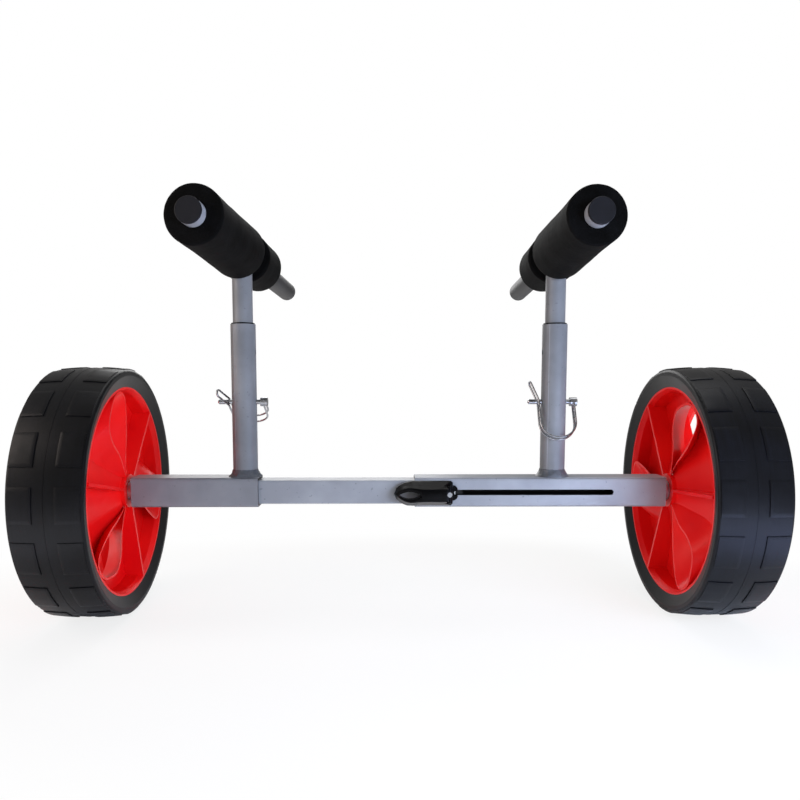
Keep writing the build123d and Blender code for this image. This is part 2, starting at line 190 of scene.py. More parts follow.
cameraData = bpy.data.cameras.new("camera")
cameraData.lens = camera["focal"]
cameraData.sensor_width = camera["sensor"]
cameraData.shift_x, cameraData.shift_y = camera["shift"]
cameraData.clip_start = camera["clipStart"]
cameraObject = bpy.data.objects.new("camera", cameraData)
eye = camera["eye"]
cameraObject.location = (mm(eye[0]), mm(eye[1]), axleZ + mm(eye[2]))
cameraObject.rotation_euler = (math.radians(90 - camera["pitch"]), 0, math.radians(-camera["yaw"]))
bpy.context.scene.collection.objects.link(cameraObject)
bpy.context.scene.camera = cameraObject
print("camera placed")

# Floor and backdrop

floorSet = {
    "size": 8.0, "drop": 0.9, "colour": "#f8f8f8",
    "shadowTo": 0.4, "whiteFrom": 0.6, "leastWhite": 0.8, "squeeze": (0.9, 1.5, 1.0),
}

deselectAll()
floorZ = axleZ - tyreRadius - mm(floorSet["drop"])
bpy.ops.mesh.primitive_plane_add(size=floorSet["size"], location=(0, 0, floorZ))
floor = bpy.context.object
floor.name = "floor"

# Matt white studio floor: it takes the cart's shadow, and runs out to plain white round it.
floorMaterial, tree, where = newMaterial("studioFloor")
squeezed = addNode(tree, "ShaderNodeVectorMath", {"operation": "MULTIPLY", 1: floorSet["squeeze"]}, where)
distance = addNode(tree, "ShaderNodeVectorMath", {"operation": "LENGTH"}, {0: (squeezed, "Vector")})
fade = addNode(tree, "ShaderNodeMapRange",
               {"interpolation_type": "SMOOTHSTEP", "From Min": floorSet["shadowTo"],
                "From Max": floorSet["whiteFrom"], "To Min": floorSet["leastWhite"]},
               {"Value": (distance, "Value")})
path = addNode(tree, "ShaderNodeLightPath")
white = addNode(tree, "ShaderNodeMath", {"operation": "MULTIPLY"},
                {0: (fade, "Result"), 1: (path, "Is Camera Ray")})
matt = addNode(tree, "ShaderNodeBsdfDiffuse", {"Color": hexToLinear(floorSet["colour"])})
glow = addNode(tree, "ShaderNodeEmission", {"Color": (1, 1, 1, 1), "Strength": 1.0})
surface = addNode(tree, "ShaderNodeMixShader",
                  {}, {0: (white, "Value"), 1: (matt, "BSDF"), 2: (glow, "Emission")})
addNode(tree, "ShaderNodeOutputMaterial", {}, {"Surface": (surface, "Shader")})
floor.data.materials.append(floorMaterial)

# Even grey-white light from all round; the camera itself, and what it sees through, finds plain white.
worldSet = {"ambient": "#f3f1ef", "ambientStrength": 0.34}
world = bpy.data.worlds.new("studio")
bpy.context.scene.world = world
world.use_nodes = True
tree = world.node_tree
tree.nodes.clear()
path = addNode(tree, "ShaderNodeLightPath")
white = addNode(tree, "ShaderNodeMath", {"operation": "MAXIMUM"},
                {0: (path, "Is Camera Ray"), 1: (path, "Is Transmission Ray")})
ambient = addNode(tree, "ShaderNodeBackground",
                  {"Color": hexToLinear(worldSet["ambient"]), "Strength": worldSet["ambientStrength"]})
backdrop = addNode(tree, "ShaderNodeBackground", {"Color": (1, 1, 1, 1), "Strength": 1.0})
surface = addNode(tree, "ShaderNodeMixShader", {},
                  {0: (white, "Value"), 1: (ambient, "Background"), 2: (backdrop, "Background")})
addNode(tree, "ShaderNodeOutputWorld", {}, {"Surface": (surface, "Shader")})
print("floor and backdrop made")

# Lamps

# places and sizes in metres, power in watts; gloss says whether the lamp shows in reflections
cartMiddle = (0.0, 0.0, -0.26)
lamps = {
    "keyLamp": {"at": (0.52, -0.66, -0.1), "aim": cartMiddle, "size": 0.4, "power": 8.4,
                "colour": "#d3e3ff", "gloss": False},
    "rightBounce": {"at": (0.37, -0.22, -0.382), "aim": (0.35, -0.17, -0.2), "size": 0.3, "power": 0.7,
                    "colour": "#a3b8ff", "gloss": True},
    "leftBounce": {"at": (-0.37, -0.22, -0.382), "aim": (-0.35, -0.17, -0.2), "size": 0.3, "power": 0.25,
                   "colour": "#e8ecff", "gloss": True},
    "fillLamp": {"at": (-1.3, -0.45, 0.35), "aim": cartMiddle, "size": 0.9, "power": 9,
                 "colour": "#fff0e6", "gloss": True},
    "rearLamp": {"at": (-0.3, 1.5, 0.5), "aim": cartMiddle, "size": 1.0, "power": 9,
                 "colour": "#ffffff", "gloss": True},
    "topLamp": {"at": (0.2, 0.3, 1.3), "aim": cartMiddle, "size": 1.2, "power": 7,
                "colour": "#ffffff", "gloss": True},
}
for name, lamp in lamps.items():
    data = bpy.data.lights.new(name, "AREA")
    data.shape = "SQUARE"
    data.size = lamp["size"]
    data.energy = lamp["power"]
    data.color = hexToLinear(lamp["colour"])[:3]
    lampObject = bpy.data.objects.new(name, data)
    lampObject.location = lamp["at"]
    towards = Vector(lamp["aim"]) - Vector(lamp["at"])
    lampObject.rotation_euler = towards.to_track_quat("-Z", "Y").to_euler()
    lampObject.visible_camera = False
    lampObject.visible_glossy = lamp["gloss"]
    bpy.context.scene.collection.objects.link(lampObject)
bpy.context.scene.view_settings.view_transform = "Standard"
print("lamps set")

# Materials

silver = {
    "metallic": 0.25,
    "patches": 18.0, "patchDetail": 4.0, "patchFrom": 0.35, "patchTo": 0.68,  # clouds about 55 mm across
    "specks": 260.0, "speckDetail": 2.0, "speckFrom": 0.68, "speckTo": 0.74, "speckMost": 0.55,  # chips, 4 mm
    # the last two colours here are painted shade: the hidden end of the inner tube, and the insides and slot
    # edges of the square tubes
    "speckColour": "#5c5e64", "endShadeColour": "#060606", "boreShadeColour": "#0a0a0b",
    "boreSkin": 0.8, "slotSkin": 0.05, "endShadeStart": 4,  # mm inside the outer face, and left of the saddle
    # metallic flakes are some 0.05 mm across: drawn at 0.7 mm, which still shows
    "grain": 1400.0, "grainDetail": 2.0, "grainStrength": 0.06, "grainDepth": 0.4,
}


def makeSilver(name, light, dark, roughness, insideHalf=None, blackFrom=None):
    # Satin silver enamel, sprayed on steel: soft cloudy tone, fine metallic grain, specks where it chipped.
    # insideHalf: half the size of a square tube round the axle line, whose inner walls and slots' edges get
    # painted shade, near black. blackFrom: the X beyond which the tube is painted black as shade, at its end
    # inside the other tube.
    material, tree, where = newMaterial(name)
    patches = addNode(tree, "ShaderNodeTexNoise",
                      {"Scale": silver["patches"], "Detail": silver["patchDetail"]}, where)
    tone = addNode(tree, "ShaderNodeValToRGB",
                   {"stops": ((silver["patchFrom"], dark), (silver["patchTo"], light))},
                   {"Fac": (patches, "Fac")})
    specks = addNode(tree, "ShaderNodeTexNoise",
                     {"Scale": silver["specks"], "Detail": silver["speckDetail"]}, where)
    chipped = addNode(tree, "ShaderNodeMapRange",
                      {"From Min": silver["speckFrom"], "From Max": silver["speckTo"],
                       "To Max": silver["speckMost"]}, {"Value": (specks, "Fac")})
    layers = [((chipped, "Result"), silver["speckColour"])]
    # painted shade: the inner tube's end, hidden inside the other tube, is drawn black
    if blackFrom:
        place = addNode(tree, "ShaderNodeSeparateXYZ", {}, where)
        endShade = addNode(tree, "ShaderNodeMath", {"operation": "GREATER_THAN", 1: blackFrom}, {0: (place, "X")})
        layers.append(((endShade, "Value"), silver["endShadeColour"]))
    # painted shade: the inside of a square tube and the edges of its slots are drawn near black
    if insideHalf:
        place = addNode(tree, "ShaderNodeSeparateXYZ", {}, where)
        level = addNode(tree, "ShaderNodeMath", {"operation": "SUBTRACT", 1: axleZ}, {0: (place, "Z")})
        deep = addNode(tree, "ShaderNodeMath", {"operation": "ABSOLUTE"}, {0: (place, "Y")})
        tall = addNode(tree, "ShaderNodeMath", {"operation": "ABSOLUTE"}, {0: (level, "Value")})
        far = addNode(tree, "ShaderNodeMath",
                      {"operation": "MAXIMUM"}, {0: (deep, "Value"), 1: (tall, "Value")})
        bore = addNode(tree, "ShaderNodeMath",
                       {"operation": "LESS_THAN", 1: insideHalf - mm(silver["boreSkin"])},
                       {0: (far, "Value")})
        wall = addNode(tree, "ShaderNodeMath",
                       {"operation": "LESS_THAN", 1: insideHalf - mm(silver["slotSkin"])},
                       {0: (deep, "Value")})
        low = addNode(tree, "ShaderNodeMath",
                      {"operation": "LESS_THAN", 1: insideHalf / 2}, {0: (tall, "Value")})
        slotEdgeShade = addNode(tree, "ShaderNodeMath", {"operation": "MULTIPLY"},
                           {0: (wall, "Value"), 1: (low, "Value")})
        inside = addNode(tree, "ShaderNodeMath", {"operation": "MAXIMUM"},
                         {0: (bore, "Value"), 1: (slotEdgeShade, "Value")})
        layers.append(((inside, "Value"), silver["boreShadeColour"]))
    colour = (tone, "Color")
    for mask, over in layers:
        mix = addNode(tree, "ShaderNodeMix", {"data_type": "RGBA", mixOver: hexToLinear(over)},
                      {"Factor": mask, mixUnder: colour})
        colour = (mix, mixOut)
    grain = addNode(tree, "ShaderNodeTexNoise",
                    {"Scale": silver["grain"], "Detail": silver["grainDetail"]}, where)
    relief = addNode(tree, "ShaderNodeBump",
                     {"Strength": silver["grainStrength"], "Distance": mm(silver["grainDepth"])},
                     {"Height": (grain, "Fac")})
    shader = addNode(tree, "ShaderNodeBsdfPrincipled",
                     {"Metallic": silver["metallic"], "Roughness": roughness},
                     {"Base Color": colour, "Normal": (relief, "Normal")})
    addNode(tree, "ShaderNodeOutputMaterial", {}, {"Surface": (shader, "BSDF")})
    return material


tubeLow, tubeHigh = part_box("right_outer_tube")
tubeHalf = (tubeHigh.y - tubeLow.y) / 2
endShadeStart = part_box("cam_saddle")[1].x - mm(silver["endShadeStart"])
squareEnamel = makeSilver("silverEnamelSquare", "#a0a3a9", "#8b8e94", roughness=0.42, insideHalf=tubeHalf)
# painted shade: the left outer tube gets a darker copy of the square tubes' silver
leftShadedEnamel = makeSilver("silverEnamelShadedLeft", "#8e9094", "#7a7c81", roughness=0.44, insideHalf=tubeHalf)
innerEnamel = makeSilver("silverEnamelInner", "#a0a3a9", "#8b8e94", roughness=0.42, blackFrom=endShadeStart)
roundEnamel = makeSilver("silverEnamelRound", "#888a8e", "#727478", roughness=0.48)
weldedEnamel = makeSilver("silverEnamelOverWeld", "#7b7f85", "#4c4f54", roughness=0.36)

# Enamel, sprayed, on the crossbars, with painted light: a silver painted reflection in front of the pads, and
# dark grey painted shade behind them.
crossbarShading = {
    "metallic": 0.2, "roughness": 0.5,
    # the dark grey tone is the painted shade behind the pads
    "smears": 40.0, "smearDetail": 4.0, "tone": ((0.35, "#1f2023"), (0.68, "#2b2c2f")),  # 25 mm across
    # from Y = -0.1 m forward the bar is drawn silver as a painted reflection; from Y = 0 back it is in
    # painted shade
    "reflectionTo": -0.1, "shadeFrom": 0.0, "reflectionColour": "#9a9ca2",  # metres along Y
    "grain": 900.0, "grainDetail": 2.0, "grainStrength": 0.12, "grainDepth": 0.4,  # 1.1 mm, coarser than real
}
crossbarShadedEnamel, tree, where = newMaterial("crossbarShadedEnamel")
smears = addNode(tree, "ShaderNodeTexNoise",
                 {"Scale": crossbarShading["smears"], "Detail": crossbarShading["smearDetail"]}, where)
tone = addNode(tree, "ShaderNodeValToRGB", {"stops": crossbarShading["tone"]}, {"Fac": (smears, "Fac")})
place = addNode(tree, "ShaderNodeSeparateXYZ", {}, where)
# painted light: silver painted reflection in front, dark painted shade behind
litFront = addNode(tree, "ShaderNodeMapRange",
                {"From Min": crossbarShading["reflectionTo"], "From Max": crossbarShading["shadeFrom"],
                 "To Min": 1.0, "To Max": 0.0}, {"Value": (place, "Y")})
colour = addNode(tree, "ShaderNodeMix", {"data_type": "RGBA", mixOver: hexToLinear(crossbarShading["reflectionColour"])},
                 {"Factor": (litFront, "Result"), mixUnder: (tone, "Color")})
grain = addNode(tree, "ShaderNodeTexNoise",
                {"Scale": crossbarShading["grain"], "Detail": crossbarShading["grainDetail"]}, where)
relief = addNode(tree, "ShaderNodeBump",
                 {"Strength": crossbarShading["grainStrength"], "Distance": mm(crossbarShading["grainDepth"])},
                 {"Height": (grain, "Fac")})
shader = addNode(tree, "ShaderNodeBsdfPrincipled",
                 {"Metallic": crossbarShading["metallic"], "Roughness": crossbarShading["roughness"]},
                 {"Base Color": (colour, mixOut), "Normal": (relief, "Normal")})
addNode(tree, "ShaderNodeOutputMaterial", {}, {"Surface": (shader, "BSDF")})

# Red polypropylene, injection moulded: satin, with broad flow clouds and a fine orange peel.
redPlastic = {
    "roughness": 0.34, "specular": 0.16,
    "flow": 14.0, "flowDetail": 2.0, "tone": ((0.3, "#de0c12"), (0.7, "#ee1a17")),  # 70 mm across
    "peel": 220.0, "peelDetail": 1.0, "peelStrength": 0.06, "peelDepth": 0.5,  # 4.5 mm across
}
redMoulding, tree, where = newMaterial("redPolypropylene")
flow = addNode(tree, "ShaderNodeTexNoise",
               {"Scale": redPlastic["flow"], "Detail": redPlastic["flowDetail"]}, where)
tone = addNode(tree, "ShaderNodeValToRGB", {"stops": redPlastic["tone"]}, {"Fac": (flow, "Fac")})
peel = addNode(tree, "ShaderNodeTexNoise",
               {"Scale": redPlastic["peel"], "Detail": redPlastic["peelDetail"]}, where)
relief = addNode(tree, "ShaderNodeBump",
                 {"Strength": redPlastic["peelStrength"], "Distance": mm(redPlastic["peelDepth"])},
                 {"Height": (peel, "Fac")})
shader = addNode(tree, "ShaderNodeBsdfPrincipled",
                 {"Roughness": redPlastic["roughness"], "Specular IOR Level": redPlastic["specular"]},
                 {"Base Color": (tone, "Color"), "Normal": (relief, "Normal")})
addNode(tree, "ShaderNodeOutputMaterial", {}, {"Surface": (shader, "BSDF")})

# Black EVA tyre, moulded: satin near-black skin, streaked round the tread, dusty where it is worn.
tyreSkin = {
    "specular": 0.22, "smoothest": 0.3, "dullest": 0.46,
    "blotches": 16.0, "blotchDetail": 5.0, "tone": ((0.15, "#050506"), (0.42, "#0c0d12")),  # 60 mm across
    "streaks": (1800.0, 24.0, 24.0), "streakDetail": 3.0,  # 0.6 mm wide and 40 mm long
    "streakStrength": 0.1, "streakDepth": 0.4,
    "pores": 700.0, "poreDetail": 3.0, "poreStrength": 0.14, "poreDepth": 0.3,  # 1.4 mm, coarser than real
}
tyreFoam, tree, where = newMaterial("blackEvaTyre")
blotches = addNode(tree, "ShaderNodeTexNoise",
                   {"Scale": tyreSkin["blotches"], "Detail": tyreSkin["blotchDetail"]}, where)
drawnOut = addNode(tree, "ShaderNodeVectorMath", {"operation": "MULTIPLY", 1: tyreSkin["streaks"]}, where)
streaks = addNode(tree, "ShaderNodeTexNoise", {"Scale": 1.0, "Detail": tyreSkin["streakDetail"]},
                  {"Vector": (drawnOut, "Vector")})
dusty = addNode(tree, "ShaderNodeMath",
                {"operation": "MULTIPLY"}, {0: (blotches, "Fac"), 1: (streaks, "Fac")})
tone = addNode(tree, "ShaderNodeValToRGB", {"stops": tyreSkin["tone"]}, {"Fac": (dusty, "Value")})
polish = addNode(tree, "ShaderNodeMapRange", {"To Min": tyreSkin["smoothest"], "To Max": tyreSkin["dullest"]},
                 {"Value": (blotches, "Fac")})
pores = addNode(tree, "ShaderNodeTexNoise",
                {"Scale": tyreSkin["pores"], "Detail": tyreSkin["poreDetail"]}, where)
streakRelief = addNode(tree, "ShaderNodeBump",
                       {"Strength": tyreSkin["streakStrength"], "Distance": mm(tyreSkin["streakDepth"])},
                       {"Height": (streaks, "Fac")})
relief = addNode(tree, "ShaderNodeBump",
                 {"Strength": tyreSkin["poreStrength"], "Distance": mm(tyreSkin["poreDepth"])},
                 {"Height": (pores, "Fac"), "Normal": (streakRelief, "Normal")})
shader = addNode(tree, "ShaderNodeBsdfPrincipled", {"Specular IOR Level": tyreSkin["specular"]},
                 {"Base Color": (tone, "Color"), "Roughness": (polish, "Result"),
                  "Normal": (relief, "Normal")})
addNode(tree, "ShaderNodeOutputMaterial", {}, {"Surface": (shader, "BSDF")})

# Black NBR foam sleeve, extruded: fine closed cells, quite matt, faintly dusty.
foam = {
    "roughness": 0.78, "specular": 0.08,
    "cells": 900.0, "cellStrength": 0.35, "cellDepth": 0.3,  # 1.1 mm; the real cells of 0.5 mm wouldn't show
    "dents": 60.0, "dentDetail": 4.0, "dentStrength": 0.2, "dentDepth": 0.6,  # 17 mm across
    "tone": ((0.35, "#040404"), (0.7, "#0a0a0b")),
}
foamSleeve, tree, where = newMaterial("blackNbrFoam")
cells = addNode(tree, "ShaderNodeTexVoronoi", {"Scale": foam["cells"]}, where)
dents = addNode(tree, "ShaderNodeTexNoise", {"Scale": foam["dents"], "Detail": foam["dentDetail"]}, where)
tone = addNode(tree, "ShaderNodeValToRGB", {"stops": foam["tone"]}, {"Fac": (dents, "Fac")})
cellRelief = addNode(tree, "ShaderNodeBump",
                     {"Strength": foam["cellStrength"], "Distance": mm(foam["cellDepth"])},
                     {"Height": (cells, "Distance")})
relief = addNode(tree, "ShaderNodeBump",
                 {"Strength": foam["dentStrength"], "Distance": mm(foam["dentDepth"])},
                 {"Height": (dents, "Fac"), "Normal": (cellRelief, "Normal")})
shader = addNode(tree, "ShaderNodeBsdfPrincipled",
                 {"Roughness": foam["roughness"], "Specular IOR Level": foam["specular"]},
                 {"Base Color": (tone, "Color"), "Normal": (relief, "Normal")})
addNode(tree, "ShaderNodeOutputMaterial", {}, {"Surface": (shader, "BSDF")})

# Zinc-plated steel, bright: pins, washers, stud. Cloudy passivation, fine scratches where parts rub.
zinc = {
    "clouds": 160.0, "cloudDetail": 2.0, "tone": ((0.35, "#9c9ea3"), (0.65, "#bcbec2")),  # 6 mm across
    "smoothest": 0.18, "dullest": 0.34,
    "scratches": 1100.0, "scratchDetail": 2.0, "scratchStrength": 0.06, "scratchDepth": 0.3,  # 0.9 mm
}
zincPlate, tree, where = newMaterial("zincPlatedSteel")
clouds = addNode(tree, "ShaderNodeTexNoise", {"Scale": zinc["clouds"], "Detail": zinc["cloudDetail"]}, where)
tone = addNode(tree, "ShaderNodeValToRGB", {"stops": zinc["tone"]}, {"Fac": (clouds, "Fac")})
polish = addNode(tree, "ShaderNodeMapRange", {"To Min": zinc["smoothest"], "To Max": zinc["dullest"]},
                 {"Value": (clouds, "Fac")})
rubbed = addNode(tree, "ShaderNodeTexNoise",
                 {"Scale": zinc["scratches"], "Detail": zinc["scratchDetail"]}, where)
relief = addNode(tree, "ShaderNodeBump",
                 {"Strength": zinc["scratchStrength"], "Distance": mm(zinc["scratchDepth"])},
                 {"Height": (rubbed, "Fac")})
shader = addNode(tree, "ShaderNodeBsdfPrincipled", {"Metallic": 1.0},
                 {"Base Color": (tone, "Color"), "Roughness": (polish, "Result"),
                  "Normal": (relief, "Normal")})
addNode(tree, "ShaderNodeOutputMaterial", {}, {"Surface": (shader, "BSDF")})

# Turned bright steel: axles, with faint lathe rings, dulled in patches by sea air.
lathe = {
    "patches": 120.0, "patchDetail": 4.0, "tone": ((0.3, "#989ba1"), (0.6, "#bcbfc4")),  # 8 mm across
    "dullest": 0.4, "smoothest": 0.26,
    "rings": 900.0, "ringWander": 0.5, "ringStrength": 0.1, "ringDepth": 0.2,  # coarser than real, to show
}
turnedSteel, tree, where = newMaterial("turnedSteel")
patches = addNode(tree, "ShaderNodeTexNoise",
                  {"Scale": lathe["patches"], "Detail": lathe["patchDetail"]}, where)
tone = addNode(tree, "ShaderNodeValToRGB", {"stops": lathe["tone"]}, {"Fac": (patches, "Fac")})
polish = addNode(tree, "ShaderNodeMapRange", {"To Min": lathe["dullest"], "To Max": lathe["smoothest"]},
                 {"Value": (patches, "Fac")})
rings = addNode(tree, "ShaderNodeTexWave",
                {"bands_direction": "X", "Scale": lathe["rings"], "Distortion": lathe["ringWander"]}, where)
relief = addNode(tree, "ShaderNodeBump",
                 {"Strength": lathe["ringStrength"], "Distance": mm(lathe["ringDepth"])},
                 {"Height": (rings, "Fac")})
shader = addNode(tree, "ShaderNodeBsdfPrincipled", {"Metallic": 1.0},
                 {"Base Color": (tone, "Color"), "Roughness": (polish, "Result"),
                  "Normal": (relief, "Normal")})
addNode(tree, "ShaderNodeOutputMaterial", {}, {"Surface": (shader, "BSDF")})

# Black nylon, moulded and polished: cam lever, saddle and bushes. Greyed a little where fingers pull it.
nylon = {
    "specular": 0.1, "smoothest": 0.18, "dullest": 0.3,
    "smears": 70.0, "smearDetail": 4.0, "tone": ((0.4, "#020203"), (0.7, "#060607")),  # 14 mm across
    "grit": 400.0, "gritDetail": 2.0, "gritStrength": 0.08, "gritDepth": 0.4,  # 2.5 mm, coarser than real
}
blackNylon, tree, where = newMaterial("blackNylon")
smears = addNode(tree, "ShaderNodeTexNoise",
                 {"Scale": nylon["smears"], "Detail": nylon["smearDetail"]}, where)
tone = addNode(tree, "ShaderNodeValToRGB", {"stops": nylon["tone"]}, {"Fac": (smears, "Fac")})
polish = addNode(tree, "ShaderNodeMapRange", {"To Min": nylon["smoothest"], "To Max": nylon["dullest"]},
                 {"Value": (smears, "Fac")})
grit = addNode(tree, "ShaderNodeTexNoise", {"Scale": nylon["grit"], "Detail": nylon["gritDetail"]}, where)
relief = addNode(tree, "ShaderNodeBump",
                 {"Strength": nylon["gritStrength"], "Distance": mm(nylon["gritDepth"])},
                 {"Height": (grit, "Fac")})
shader = addNode(tree, "ShaderNodeBsdfPrincipled", {"Specular IOR Level": nylon["specular"]},
                 {"Base Color": (tone, "Color"), "Roughness": (polish, "Result"),
                  "Normal": (relief, "Normal")})
addNode(tree, "ShaderNodeOutputMaterial", {}, {"Surface": (shader, "BSDF")})

# Dark grey polyethylene end plugs, moulded: matt and slightly scuffed.
endPlug = {
    "roughness": 0.55, "specular": 0.2,
    "scuffs": 90.0, "scuffDetail": 4.0, "tone": ((0.0, "#121215"), (1.0, "#1b1b1f")),  # 11 mm across
    "scuffStrength": 0.15, "scuffDepth": 0.4,
}
greyPlug, tree, where = newMaterial("greyPolyethylene")
scuffs = addNode(tree, "ShaderNodeTexNoise",
                 {"Scale": endPlug["scuffs"], "Detail": endPlug["scuffDetail"]}, where)
tone = addNode(tree, "ShaderNodeValToRGB", {"stops": endPlug["tone"]}, {"Fac": (scuffs, "Fac")})
relief = addNode(tree, "ShaderNodeBump",
                 {"Strength": endPlug["scuffStrength"], "Distance": mm(endPlug["scuffDepth"])},
                 {"Height": (scuffs, "Fac")})
shader = addNode(tree, "ShaderNodeBsdfPrincipled",
                 {"Roughness": endPlug["roughness"], "Specular IOR Level": endPlug["specular"]},
                 {"Base Color": (tone, "Color"), "Normal": (relief, "Normal")})
addNode(tree, "ShaderNodeOutputMaterial", {}, {"Surface": (shader, "BSDF")})

for side in sides:
    paint([f"{side}_outer_tube"], squareEnamel if side == "right" else leftShadedEnamel)
    paint([f"{side}_upright", f"{side}_upright_weld", f"{side}_post"], roundEnamel)
    paint([f"{side}_crossbar"], crossbarShadedEnamel)
    paint([f"{side}_tyre"], tyreFoam)
    paint([f"{side}_rim"], redMoulding)
    paint([f"{side}_axle"], turnedSteel)
    paint([f"{side}_axle_washer", f"{side}_split_pin", f"{side}_lock_pin", f"{side}_pin_bail"], zincPlate)
    paint([f"{side}_front_cap", f"{side}_rear_cap"], greyPlug)
    paint([f"{side}_front_pad", f"{side}_rear_pad"], foamSleeve)
paint(["inner_tube"], innerEnamel)
paint(["cam_stud", "cam_nut", "cam_washer"], zincPlate)
paint(["cam_lever", "cam_saddle", "cam_pivot"], blackNylon)
print("materials made")

# Tread blocks

tread = {
    "count": 16, "blockAngle": 14.6, "height": 0.8, "root": 0.3, "edge": 0.3, "edgeFrom": 50,
    "shoulderStart": 2.3, "rowWidth": 23.7, "firstAngle": {"left": 2.9, "right": 5.2},
    "lineWidth": 0.6, "lineHeight": 0.2, "skinFrom": 0.9,
}


def turnedAboutAxle(degrees):
    centre = Matrix.Translation((0, 0, axleZ))
    return centre @ Matrix.Rotation(math.radians(degrees), 4, "X") @ centre.inverted()


def makeTread(side):
    # one block per row is cut from the tyre's own skin and thickened, then copied round the wheel
    low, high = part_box(f"{side}_tyre")
    inner, outer = (high.x, low.x) if side == "left" else (low.x, high.x)
    outward = 1 if outer > inner else -1
    half = math.radians(tread["blockAngle"] / 2)
    skinZ = axleZ + tread["skinFrom"] * tyreRadius
    thick = tread["height"] + tread["root"]
    for row, start, way in (("Inner", inner, outward), ("Outer", outer, -outward)):
        near = start + way * mm(tread["shoulderStart"])
        far = start + way * mm(tread["rowWidth"])
        block = cutCopy(nodes[f"{side}_tyre"], [
            ((near, 0, 0), (-way, 0, 0)),
            ((far, 0, 0), (way, 0, 0)),
            ((0, 0, axleZ), (0, math.cos(half), -math.sin(half))),
            ((0, 0, axleZ), (0, -math.cos(half), -math.sin(half))),
            ((0, 0, skinZ), (0, 0, -1)),
        ])
        applyModifier(block, "SOLIDIFY", "thickness", thickness=mm(thick),
                      offset=2 * tread["height"] / thick - 1, use_even_offset=True)
        applyModifier(block, "BEVEL", "softEdge", width=mm(tread["edge"]), segments=2, limit_method="ANGLE",
                      angle_limit=math.radians(tread["edgeFrom"]))
        for k in range(tread["count"]):
            copy = bpy.data.objects.new("block", block.data.copy())
            bpy.context.scene.collection.objects.link(copy)
            turn = 90 - tread["firstAngle"][side] - k * 360 / tread["count"]
            copy.matrix_world = turnedAboutAxle(turn)
            finishPiece(copy, f"{side}Tread{row}{k + 1:02d}", f"{side}_wheel", tyreFoam)
        bpy.data.objects.remove(block)


def makePartingLine(side):
    # the fine raised line that the mould halves leave round the middle of the tread
    low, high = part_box(f"{side}_tyre")
    middle = (low.x + high.x) / 2
    halfLine = mm(tread["lineWidth"]) / 2
    line = cutCopy(nodes[f"{side}_tyre"], [
        ((middle - halfLine, 0, 0), (-1, 0, 0)),
        ((middle + halfLine, 0, 0), (1, 0, 0)),
    ])
    seat = tread["skinFrom"] * tyreRadius
    selectFaces(line, lambda face: Vector((0, face.center.y, face.center.z - axleZ)).length < seat)
    bpy.ops.object.mode_set(mode="EDIT")
    bpy.ops.mesh.delete(type="FACE")
    bpy.ops.object.mode_set(mode="OBJECT")
    applyModifier(line, "SOLIDIFY", "thickness", thickness=mm(2 * tread["lineHeight"]), offset=0)
    finishPiece(line, f"{side}TyrePartingLine", f"{side}_wheel", tyreFoam)


for side in sides:
    makeTread(side)
print("tread made")
for side in sides:
    makePartingLine(side)
print("parting lines made")

# Foam pads

pads = {
    "diameter": 50.4, "bore": 22.0, "sides": 64, "rings": 30, "round": 2.4, "roundSteps": 4,
    "flare": {"front": 3.6, "rear": 1.0}, "flareReach": {"front": 85.0, "rear": 25.0},
    "longer": {"front": 4.5, "rear": 0.0},
    "relief": {"lumps": (0.7, 0.03), "skin": (0.18, 0.0035)}, "smooth": 60,
    # shares of the radius and the length that tell the skin, the bore and the ends apart
    "flatFrom": 0.9, "skinFrom": 0.98, "boreTo": 0.6, "ringFrom": 0.8,
    "longFrom": 0.5, "endFrom": 0.499, "shortTo": 0.1,
    # metres: rings nearer to each other than ringGap count as one, and ringHalf takes in all of one ring
    "ringDigits": 5, "ringGap": 0.00005, "ringHalf": 0.00003,
}


